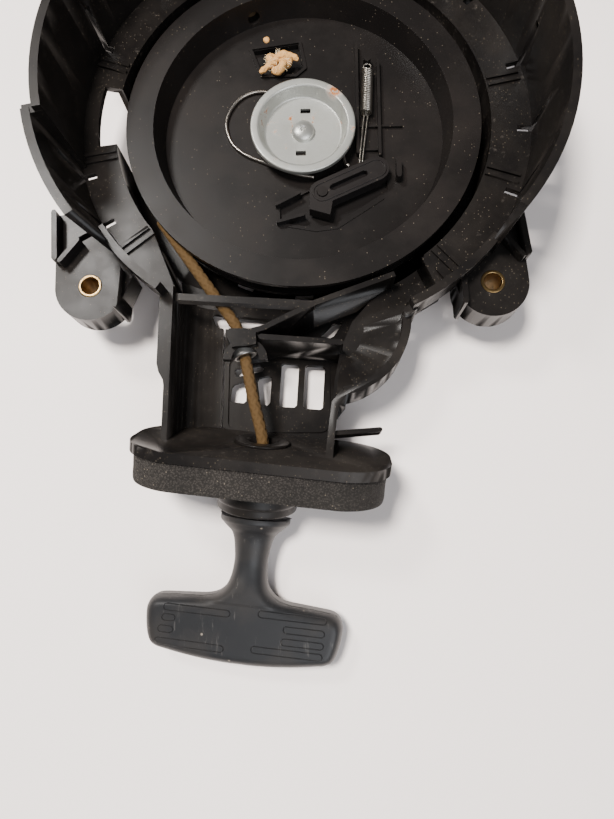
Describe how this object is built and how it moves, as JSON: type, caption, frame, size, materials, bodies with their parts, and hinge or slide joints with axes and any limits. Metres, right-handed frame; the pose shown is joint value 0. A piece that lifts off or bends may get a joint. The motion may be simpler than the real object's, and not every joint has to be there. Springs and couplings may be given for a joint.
{
  "type": "recoil starter",
  "caption": "Pull-rope starter for a small engine: bowl-shaped black housing with rope neck and gasketed end plate, sprung rope pulley, pawl and T-handle.",
  "frame": {"origin": "on the pulley's axis, in the plane of its upper flange, which is also the plane of the shelf and of the mounting ears", "axes": "+Z out of the open bowl towards the flywheel; -Y roughly along the rope's exit; the housing's outer face points to -Z"},
  "size_m": [0.1832, 0.2932, 0.0675],
  "materials": {
    "black_plastic": "glass-filled, fine grain, dusty, worn grey along edges",
    "pulley_plastic": "smooth moulded, dusty",
    "pawl_plastic": "satin moulded",
    "handle_plastic": "satin with light scuffs",
    "collar_plastic": "satin",
    "eyelet_plastic": "polished by the rope",
    "foam": "open-cell foam, dull",
    "rope": "braided, soiled tan",
    "zinc_steel": "zinc plated with rust spots",
    "screw_steel": "zinc plated, satin",
    "wire_steel": "bright drawn wire",
    "spring_wire": "close-wound wire, slightly soiled",
    "spring_steel": "blued strip",
    "brass": "turned, dull"
  },
  "bodies": {
    "housing": {"housing": "black_plastic", "sleeve_lower_left": "brass", "sleeve_lower_right": "brass", "sleeve_upper_left": "brass", "sleeve_upper_right": "brass", "mainspring": "spring_steel", "retainer_cup": "zinc_steel", "center_screw": "screw_steel", "rope_run": "rope", "rope_collar": "collar_plastic", "rope_eyelet": "eyelet_plastic", "guide_ferrule": "wire_steel", "foam_gasket": "foam"},
    "pulley": {"pulley": "pulley_plastic", "rope_coil": "rope", "rope_knot_pulley": "rope", "return_spring": "spring_wire"},
    "pawl": {"pawl": "pawl_plastic"},
    "brake": {"brake_spring": "wire_steel"},
    "handle": {"handle_grip": "handle_plastic", "handle_washer": "zinc_steel", "rope_handle_end": "rope", "rope_knot_handle": "rope"}
  },
  "joints": [
    {"name": "pulley_spin", "type": "hinge", "parent": "housing", "child": "pulley", "pos_m": [0, 0, 0], "axis": [0, 0, 1], "range_deg": [0, 690], "stiffness_Nm_per_rad": 0.02, "springref_deg": -229.18, "deforming": ["mainspring"]},
    {"name": "handle_pull", "type": "slide", "parent": "housing", "child": "handle", "axis": [-0.1097, -0.994, 0], "range_m": [0, 0.76]},
    {"name": "pawl_swing", "type": "hinge", "parent": "pulley", "child": "pawl", "pos_m": [0.0075, -0.0275, 0], "axis": [0, 0, -1], "range_deg": [0, 20], "stiffness_Nm_per_rad": 0.002, "springref_deg": -22.92, "deforming": ["return_spring"]},
    {"name": "brake_slip", "type": "hinge", "parent": "pulley", "child": "brake", "pos_m": [0, 0, 0], "axis": [0, 0, -1], "range_deg": [0, 12.5]}
  ],
  "couplings": [
    {"joint": "handle_pull", "follows": "pulley_spin", "m_per_rad": 0.0625},
    {"joint": "brake_slip", "follows": "pawl_swing", "ratio": 0.6}
  ]
}
